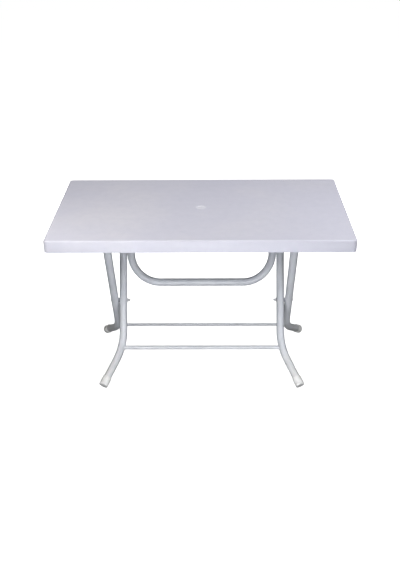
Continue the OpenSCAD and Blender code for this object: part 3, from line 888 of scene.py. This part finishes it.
CAMERA_PLACE = Vector((0.0523, -3.2717, 2.0))
CAMERA_YAW = math.radians(-1.04)
CAMERA_PITCH = math.radians(26.51)
CAMERA_ROLL = math.radians(-0.58)
CAMERA_LENS = 52.9
CAMERA_SENSOR = 36


def make_camera():
    data = bpy.data.cameras.new("camera")
    data.lens = CAMERA_LENS
    data.sensor_width = CAMERA_SENSOR
    made = bpy.data.objects.new("camera", data)
    bpy.context.scene.collection.objects.link(made)
    forward = Vector((math.sin(CAMERA_YAW) * math.cos(CAMERA_PITCH),
                      math.cos(CAMERA_YAW) * math.cos(CAMERA_PITCH),
                      -math.sin(CAMERA_PITCH)))
    level = Vector((math.cos(CAMERA_YAW), -math.sin(CAMERA_YAW), 0))
    upward = level.cross(forward)
    right = level * math.cos(CAMERA_ROLL) + upward * math.sin(CAMERA_ROLL)
    up = upward * math.cos(CAMERA_ROLL) - level * math.sin(CAMERA_ROLL)
    facing = Matrix((right, up, -forward)).transposed().to_4x4()
    made.matrix_world = Matrix.Translation(CAMERA_PLACE) @ facing
    bpy.context.scene.camera = made


# ---- Studio ----

# Name, place, target, size, power and colour of each light
LIGHTS = [
    ("front_left", (-1.1, -2.3, 1.75), (0, 0, 0.4), (1.8, 1.2), 2, (0.97, 0.98, 1)),
    ("front_right", (1.1, -2.3, 1.75), (0, 0, 0.4), (1.8, 1.2), 13, (0.97, 0.98, 1)),
    ("overhead", (0, 0.15, 3.2), (0, 0, 0.7), (2, 2), 50, (1, 0.995, 0.99)),
    ("low_front", (0, -1.2, 0.36), (0, 0, 0.15), (1.6, 0.5), 14, (0.975, 0.985, 1)),
    ("beside_right", (1.3, -0.3, 1.7), (0.4, -0.25, 0.73), (0.8, 0.8), 10.5, (1, 1, 1)),
    ("corner_left", (-0.95, -0.75, 1.35), (-0.45, -0.3, 0.73), (0.5, 0.5), 7, (1, 0.97, 0.89)),
    ("behind", (0, 2.4, 0.42), (0, 0, 0.4), (2.4, 0.5), 24, (1, 1, 1)),
]
# Narrow lights on the rear feet, which stand in the shade of the table
REAR_FOOT_POWER = 19
REAR_FOOT_CONE = math.radians(11)
FLOOR_R = 30
FLOOR_Z = -0.2 * MM
FLOOR_GLOW = 0.98


def area_light(name, place, target, size, power, colour):
    data = bpy.data.lights.new(name, "AREA")
    data.shape = "RECTANGLE"
    data.size, data.size_y = size
    data.energy = power
    data.color = colour
    made = bpy.data.objects.new(name, data)
    made.location = place
    made.rotation_euler = (Vector(target) - Vector(place)).to_track_quat("-Z", "Y").to_euler()
    made.visible_camera = False
    # The one behind would leave a glare on the top
    made.visible_glossy = name != "behind"
    bpy.context.scene.collection.objects.link(made)


def rear_foot_light(side):
    data = bpy.data.lights.new("rear_foot", "SPOT")
    data.energy = REAR_FOOT_POWER
    data.spot_size = REAR_FOOT_CONE
    data.spot_blend = 0.7
    data.shadow_soft_size = 0.06
    made = bpy.data.objects.new("rear_foot", data)
    made.location = place = Vector((side * 0.95, -1.7, 0.62))
    target = Vector((side * (OUTER_X + 40 * MM), 0.2, 0.1))
    made.rotation_euler = (target - place).to_track_quat("-Z", "Y").to_euler()
    bpy.context.scene.collection.objects.link(made)


def make_studio():
    """White surroundings that light the table only dimly, soft lights and two narrow ones."""
    bpy.context.scene.view_settings.view_transform = "Standard"
    world = bpy.data.worlds.new("studio")
    bpy.context.scene.world = world
    world.use_nodes = True
    nodes, links = world.node_tree.nodes, world.node_tree.links
    ambient = next(n for n in nodes if n.type == "BACKGROUND")
    ambient.inputs["Color"].default_value = (1, 1, 1, 1)
    direction = nodes.new("ShaderNodeSeparateXYZ")
    links.new(nodes.new("ShaderNodeTexCoord").outputs["Generated"], direction.inputs["Vector"])
    rearward = nodes.new("ShaderNodeMapRange")
    links.new(direction.outputs["Y"], rearward.inputs["Value"])
    ramp = {"From Min": -0.1, "From Max": 0.6, "To Min": 0.018, "To Max": 0.026}
    for socket, value in ramp.items():
        rearward.inputs[socket].default_value = value
    links.new(rearward.outputs["Result"], ambient.inputs["Strength"])
    backdrop = nodes.new("ShaderNodeBackground")
    backdrop.inputs["Strength"].default_value = 1
    seen = nodes.new("ShaderNodeLightPath")
    either = nodes.new("ShaderNodeMixShader")
    links.new(seen.outputs["Is Camera Ray"], either.inputs["Fac"])
    links.new(ambient.outputs["Background"], either.inputs[1])
    links.new(backdrop.outputs["Background"], either.inputs[2])
    output = next(n for n in nodes if n.type == "OUTPUT_WORLD")
    links.new(either.outputs["Shader"], output.inputs["Surface"])
    for light in LIGHTS:
        area_light(*light)
    for side in SIDES.values():
        rear_foot_light(side)


def make_floor():
    look = Look("studio_floor", (0.9, 0.9, 0.9), 0.6)
    look.shader.inputs["Emission Color"].default_value = (1, 1, 1, 1)
    look.shader.inputs["Emission Strength"].default_value = FLOOR_GLOW
    paper = look.noise(3, 3, 0.6)
    colour = look.blend(look.remap(paper, 0.3, 0.7), (0.89, 0.89, 0.89), (0.92, 0.92, 0.92))
    look.bump(look.noise(900, 3, 0.6), 0.05 * MM, 0.3)
    bm = bmesh.new()
    bm.faces.new(circle_ring(bm, FLOOR_R, FLOOR_Z, Matrix(), 96))
    mesh = bpy.data.meshes.new("studio_floor")
    bm.to_mesh(mesh)
    bm.free()
    mesh.materials.append(look.finish(colour))
    made = bpy.data.objects.new("studio_floor", mesh)
    made.visible_diffuse = False
    made.visible_glossy = False
    bpy.context.scene.collection.objects.link(made)


# ---- CAD nodes that keep their shape ----


def dress_cad_nodes():
    slot_of = {
        "tube_coat": ["outer_leg_left", "outer_leg_right", "outer_hinge_bar", "outer_stretcher",
                      "inner_leg_left", "inner_leg_right", "inner_top_bar", "u_brace",
                      "inner_stretcher"],
        "bracket_plastic": ["pivot_spacer_left", "pivot_spacer_right"],
    }
    for slot, names in slot_of.items():
        for name in names:
            for holder in frame["nodes"][name].material_slots:
                holder.material = LOOKS[slot]


make_camera()
make_studio()
make_floor()
dress_cad_nodes()
make_top()
make_plug()
for word, side in SIDES.items():
    make_foot_cap("front_foot_cap_" + word, "inner_frame", side)
    make_foot_cap("rear_foot_cap_" + word, "outer_frame", side)
    softened("hinge_bracket_" + word, "bracket_plastic", 1.2 * MM)
    softened("rear_clip_" + word, "bracket_plastic", 1.0 * MM)
    softened("hinge_strap_" + word, "zinc", 0.5 * MM)
make_bar_plugs("inner_bar_plugs", "inner_top_bar", "inner_frame")
make_bar_plugs("outer_bar_plugs", "outer_hinge_bar", "outer_frame")
make_bolts()
make_washers()
make_screws("hinge_screws", 50 * MM, 4)
make_screws("clip_screws", 18 * MM, 4)
make_welds()
